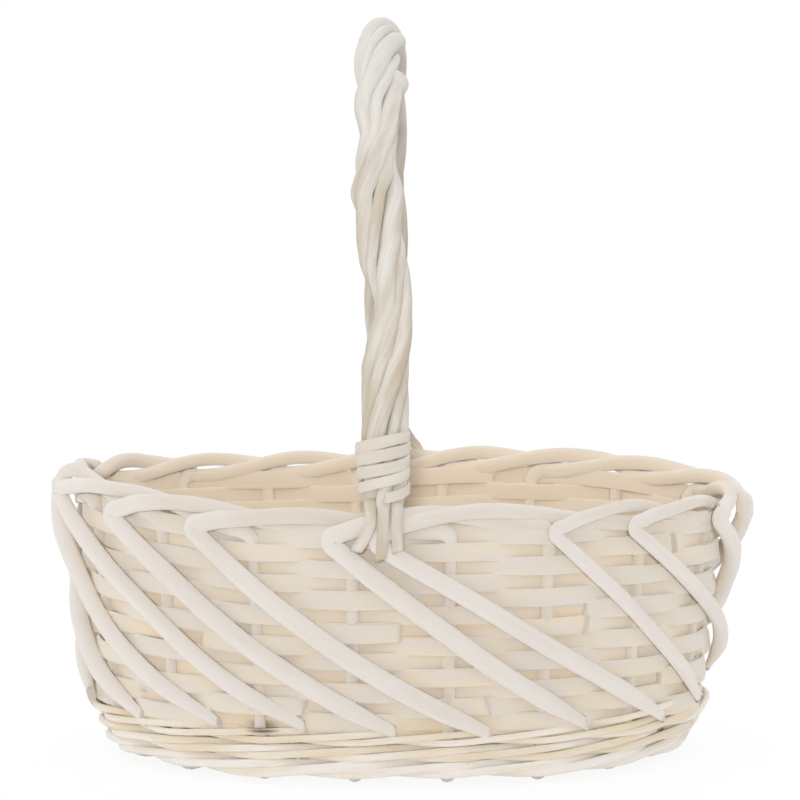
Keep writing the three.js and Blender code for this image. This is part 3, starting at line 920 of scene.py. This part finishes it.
# Handle: a hoop over the short way, a core and six rods twisted round it
hoop = {
    "shift": -7 * mm,  # a little left of the middle
    "height": 311 * mm,
    "archOut": 2.25 * mm,
    "coreRadius": 3.5 * mm,
    "coreFoot": 13 * mm,
    "coreTop": 97.3 * mm,  # where the core leaves the wall
    "coreInside": 5.4 * mm,  # room between the stakes and the core
    "coreLean": 6 * mm,  # the back end leans
    "coreRoom": 0.8 * mm,  # room between the rope rim and the core
    "coreTurn": (180, 155, 130),
    "coreStops": 48,
    "coreFine": 5,
    "strandRadius": 3.2 * mm,
    "strandRoom": 0.3 * mm,
    "strands": 6,
    "stout": (0.74, 1.2),  # thin and stout strands by turns, and how deep they press in
    "pressed": (1.2 * mm, 0.9 * mm),
    "knotHalf": 2.2,
    "springing": 1,  # strand whose back end springs aside, how far above the rim, aside and up
    "springHeight": 10 * mm,
    "springAside": 11 * mm,
    "springUp": 3.5 * mm,
    "turns": 3,
    "ropeOuter": 6.65 * mm,
    "bindingLift": 4 * mm,
    "calm": 14 * mm,  # the binding holds the ends in place
    "margin": 6.7 * mm,  # where the core and the inner strands start
    "tailDrop": 11 * mm,
    "tailOut": 10.6 * mm,
    "tailFan": (1.25, 1.1),
    "tailHalfWidth": 2.3 * mm,
    "tailHalfThickness": 1.1 * mm,
    "bleachAndPaintedLight": (0.65, (0.255, 0.04)),  # painted light, paler up the hoop and most at the top
    "stops": 90,
    "fine": 4,
    "sides": 16,
}
frontLeg = 0.75 * girth + hoop["shift"]
backLeg = 0.25 * girth - hoop["shift"]
strandOut = hoop["coreRadius"] + hoop["strandRadius"] + hoop["strandRoom"]
handleRadius = strandOut + hoop["strandRadius"]
archRadius = -onWall(frontLeg, wall["height"], hoop["archOut"]).y
handleFoot = wall["height"] + hoop["ropeOuter"] + hoop["bindingLift"]
archStart = hoop["height"] - handleRadius - archRadius
legLength = archStart - handleFoot
handleLength = 2 * legLength + pi * archRadius

# Willow never bends true: way along the hoop, its sway to the side and how much it swells, in mm
hoopStops = (
    (0, 2.3, 0), (26, 1.8, 0.5), (52, 3.7, 0.5), (62, 4.8, 0), (76, 5.4, -1.6), (97, 2.5, 0.6),
    (111, 0.8, -0.1), (122, -1.4, 1.7), (136, -1, -0.8), (149, 0.8, -1.4), (165, -1.1, 0.7),
    (180, -0.5, 0), (195, -0.9, 0.5), (213, -0.4, 0.2), (240, -0.8, 0), (290, -0.6, 0.2),
    (350, -0.8, -0.2), (420, -1.1, 0.2), (480, -1.1, 0),
)
# Way along the hoop in mm, and how far the twist runs ahead
twistStops = ((0, 0), (39, -0.51), (90, -0.46), (133, -0.09), (190, 0), (480, 0))
# Strand, way along the hoop and height of each knot, in mm
knots = ((1, 181, 2.6), (2, 128, 0.7), (4, 60, 0.6), (0, 330, 0.8))


def atStops(stops, distance):
    for before, after in zip(stops, stops[1:]):
        if distance <= after[0] * mm:
            break
    share = ease((distance / mm - before[0]) / (after[0] - before[0]))
    return [mix(low, high, share) for low, high in zip(before[1:], after[1:])]


def hoopBend(distance):
    return [mm * value for value in atStops(hoopStops, distance)]


# A point by its way along the hoop from the front foot, outward from the hoop, and sideways
def onHandle(distance, out, side):
    turn = min(max((distance - legLength) / archRadius, 0), pi)
    onArch = min(max(distance, legLength), handleLength - legLength)
    reach = archRadius + out
    height = archStart + reach * sin(turn) - abs(distance - onArch)
    sway, swell = hoopBend(min(max(distance, 0), handleLength))
    return Vector((hoop["shift"] + side + sway, -reach * cos(turn), height))


def evenTwist(strand, distance):
    return 2 * pi * (strand / hoop["strands"] + hoop["turns"] * distance / handleLength)


# Uneven twist: slow at the foot, faster above
def twistAt(strand, distance):
    ahead = atStops(twistStops, distance)[0] + 0.16 * wander(700 + strand, distance / (45 * mm))
    return evenTwist(strand, distance) + ahead


def strandSize(strand, distance):
    size = hoop["strandRadius"] * hoop["stout"][strand % 2]
    size *= 1 + 0.07 * wander(720 + strand, distance / (38 * mm))
    for grownOn, place, height in knots:
        if grownOn == strand:
            size += height * mm * exp(-((distance / mm - place) / hoop["knotHalf"]) ** 2)
    return size


def strandReach(strand, distance):
    sway, swell = hoopBend(distance)
    reach = strandOut - hoop["pressed"][strand % 2] + swell
    return reach + 0.5 * mm * wander(740 + strand, distance / (50 * mm))


# How free the strands are of the binding that holds their ends
def calmAt(distance):
    return ease(min(distance, handleLength - distance) / hoop["calm"])


def coreEnd(leg, atFront):
    inside = -hoop["coreInside"] - hoop["coreRadius"]
    foot, top = hoop["coreFoot"], hoop["coreTop"]
    around = hoop["ropeOuter"] + hoop["coreRoom"] + hoop["coreRadius"]
    leaned = leg if atFront else leg - hoop["coreLean"]
    middle = 0.5 * (foot + top)
    path = [onWall(leaned, foot, inside), onWall(leaned, middle, inside), onWall(leg, top, inside)]
    for degrees in hoop["coreTurn"]:
        angle = radians(degrees)
        inward = archRadius + around * cos(angle)
        height = wall["height"] + around * sin(angle)
        path.append(Vector((hoop["shift"], -inward if atFront else inward, height)))
    return path


def makeHandleCore():
    guides = coreEnd(frontLeg, True)
    for i in range(hoop["coreStops"] + 1):
        distance = mix(hoop["margin"], handleLength - hoop["margin"], i / hoop["coreStops"])
        guides.append(onHandle(distance, 0, 0))
    guides += reversed(coreEnd(backLeg, False))
    points = throughGuides(guides, hoop["coreFine"])
    outline = roundOutline(hoop["sides"])
    radius = hoop["coreRadius"]
    makeRod("handle_core", "handle_willow", points, lambda i: (radius, radius), outline,
            startLift=Vector((1, 0, 0)), seed=70)


# Strand ends that lap over the rim: flattened, and fanned out a little
def strandTail(strand, angle, atFront):
    tailOut, height = hoop["tailOut"], wall["height"]
    start = strandReach(strand, 0) * cos(angle)
    side = strandReach(strand, 0) * sin(angle)
    fan = hoop["tailFan"][0 if atFront else 1]
    drop = hoop["tailDrop"] + (1.5 * mm if strand == 0 else -2 * mm)
    slip = -4.5 * mm if side < -1 * mm else -1 * mm
    springs = strand == hoop["springing"] and not atFront
    aside, up = (hoop["springAside"], hoop["springUp"]) if springs else (0, 0)
    sway, swell = hoopBend(0 if atFront else handleLength)
    points = []
    for out, tall, across in (
        (tailOut - 1.2 * mm, height - drop, fan * side + slip + aside),
        (tailOut, height - 0.4 * drop, 1.1 * side + 0.4 * slip + aside),
        (tailOut - 0.2 * mm, height + 2.5 * mm + up, side + 0.8 * aside),
        (mix(start, tailOut, 0.6), height + hoop["ropeOuter"] + 1 * mm + up, side + 0.45 * aside),
    ):
        reach = archRadius + out
        points.append(Vector((hoop["shift"] + sway + across, -reach if atFront else reach, tall)))
    return points


def makeHandleStrands():
    outline = roundOutline(hoop["sides"])
    fine = hoop["fine"]
    for strand in range(hoop["strands"]):
        angle = evenTwist(strand, 0)
        lapped = cos(angle) > 0.1
        margin = 0 if lapped else hoop["margin"]
        last = handleLength - (hoop["springHeight"] if strand == hoop["springing"] else margin)
        guides = strandTail(strand, angle, True) if lapped else []
        tailGuides = len(guides)
        lifts = [Vector((0, -1, 0))] * tailGuides
        for i in range(hoop["stops"] + 1):
            distance = mix(margin, last, i / hoop["stops"])
            calm = calmAt(distance)
            twist = mix(evenTwist(strand, distance), twistAt(strand, distance), calm)
            reach = mix(strandOut - hoop["pressed"][1], strandReach(strand, distance), calm)
            point = onHandle(distance, reach * cos(twist), reach * sin(twist))
            lifts.append((point - onHandle(distance, 0, 0)).normalized())
            guides.append(point)
        if lapped:
            guides += reversed(strandTail(strand, angle, False))
            lifts += [Vector((0, 1, 0))] * tailGuides
        points = throughGuides(guides, fine)
        fineLifts = throughGuides(lifts, fine)
        guideCount = len(guides) - 1

        def spread(i):
            guide = i / fine
            distance = mix(margin, last, min(max(guide - tailGuides, 0) / hoop["stops"], 1))
            size = mix(hoop["strandRadius"], strandSize(strand, distance), calmAt(distance))
            flat = 0
            if lapped:
                flat = 1 - ease((min(guide, guideCount - guide) - 0.6 * tailGuides) / (0.5 * tailGuides))
            return mix(size, hoop["tailHalfWidth"], flat), mix(size, hoop["tailHalfThickness"], flat)

        shadeOf = random.Random(800 + strand).uniform(0.3, 0.7)
        # the tone pales towards the top of the hoop: painted light
        makeRod("handle_strand_%d" % (strand + 1), "handle_willow", points, spread, outline,
                liftAt=lambda i: fineLifts[i], seed=71 + strand, cuts=(-0.5, 0.4) if lapped else (0, 0),
                tone=lambda i: shadeOf - over(points[i].z, hoop["bleachAndPaintedLight"]))
    print("handle ready")


# Bindings: a flat skein wound round each leg, one unbroken strip
binding = {
    "height": 28 * mm,
    "width": 4.6 * mm,
    "thickness": 1.2 * mm,
    "pitch": 5.4 * mm,
    "backStart": 7 * mm,  # at the back it starts above the loose strand and lies closer
    "backCloser": 0.9 * mm,
    "closer": 0.1 * mm,
    "slack": 0.4 * mm,  # each turn grips a little less
    "aslant": (1.8 * mm, 14),
    "upStray": (1.2 * mm, 0.7),
    "outStray": (0.3 * mm, 0.8),
    "uneven": (0.16, 0.06),
    "edgePower": 0.55,
    "stepsPerTurn": 40,
    "sides": 12,
}


def makeBindings():
    outline = stripOutline(binding["sides"], binding["edgePower"])
    aslant, evenSteps = binding["aslant"]
    for atFront in (True, False):
        seed = 900 + atFront
        low = 0 if atFront else binding["backStart"]
        closer = binding["closer"] + (0 if atFront else binding["backCloser"])
        turns = (binding["height"] - low - binding["width"]) / binding["pitch"]
        steps = round(turns * binding["stepsPerTurn"])
        points, lifts = [], []
        for i in range(steps + 1):
            turn = 2 * pi * i / binding["stepsPerTurn"]
            climb = low + binding["width"] / 2 + binding["pitch"] * i / binding["stepsPerTurn"]
            climb += stray(binding["upStray"], seed, turn)
            climb += aslant * sin(turn) * ease(min(i, steps - i) / evenSteps)
            radius = handleRadius - closer + stray(binding["outStray"], seed + 5, turn)
            radius += binding["slack"] * (i / steps)
            distance = climb if atFront else handleLength - climb
            point = onHandle(distance, radius * cos(turn), radius * sin(turn))
            points.append(point)
            lifts.append((point - onHandle(distance, 0, 0)).normalized())

        def spread(i):
            width = binding["width"] * (1 + stray(binding["uneven"], seed + 9, i))
            return width / 2, binding["thickness"] / 2

        name = "handle_binding_" + ("front" if atFront else "back")
        makeRod(name, "binding_skein", points, spread, outline, liftAt=lambda i: lifts[i],
                seed=80 + atFront, cuts=(0.4, -0.4))
    print("bindings ready")


makeWallRods()
makeWeaverRows()
makeFootWale()
makeLongSticks()
makeShortSticks()
makeBaseWeavers()
makeHandleCore()
makeHandleStrands()
makeBindings()

# Camera at the photograph's angle
shot = {
    "distance": 1.5,
    "elevation": radians(5.9),
    "azimuth": radians(1.0),  # a little to the right of the front
    "target": Vector((0, 0, 0.1481)),
    "lens": 158.1,
}


def makeCamera():
    data = bpy.data.cameras.new("shotCamera")
    data.lens = shot["lens"]
    data.sensor_width = 36
    camera = addObject("shotCamera", data)
    level = cos(shot["elevation"]) * shot["distance"]
    camera.location = shot["target"] + Vector((
        level * sin(shot["azimuth"]), -level * cos(shot["azimuth"]),
        sin(shot["elevation"]) * shot["distance"]))
    camera.rotation_euler = (shot["target"] - camera.location).to_track_quat("-Z", "Y").to_euler()
    scene.camera = camera


# Soft studio light: a bright room, four lamps and a white floor
studio = {
    "room": {"Color": (1, 0.99, 0.97, 1), "Strength": 0.275},
    "lamps": {  # strength, elevation, azimuth from the front and spread
        "frontLamp": (1.2, 10, 0, 4),
        "leftLamp": (0.28, 8, -50, 60),
        "topLamp": (0.75, 55, -10, 140),
        "backLamp": (1.1, 28, 176, 100),
    },
    "floorSize": 30,
    "floor": {"Base Color": (0.9, 0.9, 0.89, 1), "Roughness": 0.9, "Specular IOR Level": 0},
    "floorWhite": 1.07,
    "floorGlow": 0.85,
}


# White where the camera sees it straight, mirrored or through glass, so it adds no light to the basket
def seenWhite(tree, own, kind, strength, most, output):
    path = makeNode(tree, "ShaderNodeLightPath", {})
    seen = path["Is Camera Ray"]
    for ray in ("Is Glossy Ray", "Is Transmission Ray"):
        seen = reckon(tree, "MAXIMUM", seen, path[ray])
    glow = makeNode(tree, kind, {"Color": (1, 1, 1, 1), "Strength": strength})[0]
    choice = {0: reckon(tree, "MULTIPLY", seen, most), 1: own.outputs[0], 2: glow}
    setSockets(tree, tree.nodes[output], {"Surface": makeNode(tree, "ShaderNodeMixShader", choice)[0]})


def makeStudio():
    for name, (strength, elevation, azimuth, spread) in studio["lamps"].items():
        data = bpy.data.lights.new(name, "SUN")
        data.energy = strength
        data.angle = radians(spread)
        addObject(name, data).rotation_euler = (radians(90 - elevation), 0, radians(azimuth))
    world = bpy.data.worlds.new("studioRoom")
    scene.world = world
    world.use_nodes = True
    tree = world.node_tree
    room = tree.nodes["Background"]
    setSockets(tree, room, studio["room"])
    seenWhite(tree, room, "ShaderNodeBackground", 1, 1, "World Output")

    bm = bmesh.new()
    bmesh.ops.create_grid(bm, x_segments=1, y_segments=1, size=studio["floorSize"])
    material = bpy.data.materials.new("paleFloor")
    material.use_nodes = True
    tree = material.node_tree
    matt = tree.nodes["Principled BSDF"]
    setSockets(tree, matt, studio["floor"])
    seenWhite(tree, matt, "ShaderNodeEmission", studio["floorWhite"], studio["floorGlow"], "Material Output")
    floor = addMesh("floor", bm, material)


makeCamera()
makeStudio()
scene.view_settings.view_transform = "Standard"
